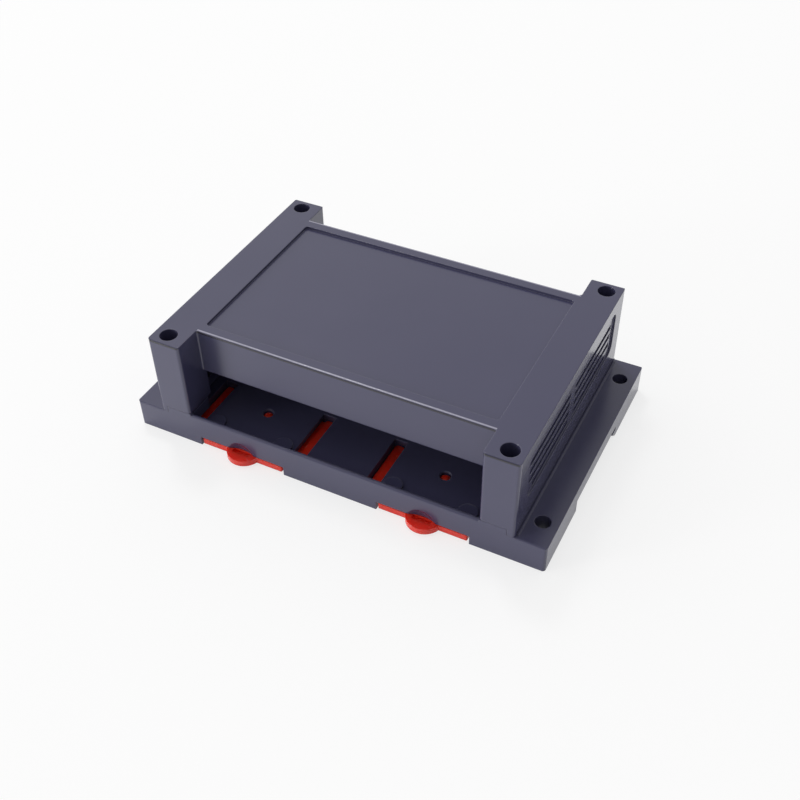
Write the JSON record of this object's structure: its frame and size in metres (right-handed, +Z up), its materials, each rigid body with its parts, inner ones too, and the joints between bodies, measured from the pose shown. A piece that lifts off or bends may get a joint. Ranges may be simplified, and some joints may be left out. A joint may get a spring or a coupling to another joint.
{
  "type": "din rail enclosure",
  "caption": "Empty moulded enclosure for a 35 mm rail with end flanges, a bridge-shaped cover screwed on through corner towers, open terminal bays, side vents and sliding rail clips.",
  "frame": {"origin": "centre of the four panel holes, on the underside plane", "axes": "+X along the rail, -Y towards the side with the clip tabs, +Z up through the deck"},
  "size_m": [0.145, 0.0939, 0.04],
  "materials": {
    "case_plastic": "fine satin moulded ABS, blue-grey",
    "clip_plastic": "glossy moulded, signal red",
    "screw_steel": "zinc plated"
  },
  "bodies": {
    "case": {"base_tray": "case_plastic", "top_cover": "case_plastic", "cover_screw_front_left": "screw_steel", "cover_screw_front_right": "screw_steel", "cover_screw_rear_left": "screw_steel", "cover_screw_rear_right": "screw_steel"},
    "left_clip": {"rail_clip_left": "clip_plastic"},
    "right_clip": {"rail_clip_right": "clip_plastic"}
  },
  "joints": [
    {"name": "left_clip_slide", "type": "slide", "parent": "case", "child": "left_clip", "axis": [0, -1, 0], "range_m": [0, 0.0046]},
    {"name": "right_clip_slide", "type": "slide", "parent": "case", "child": "right_clip", "axis": [0, -1, 0], "range_m": [0, 0.0046]}
  ]
}
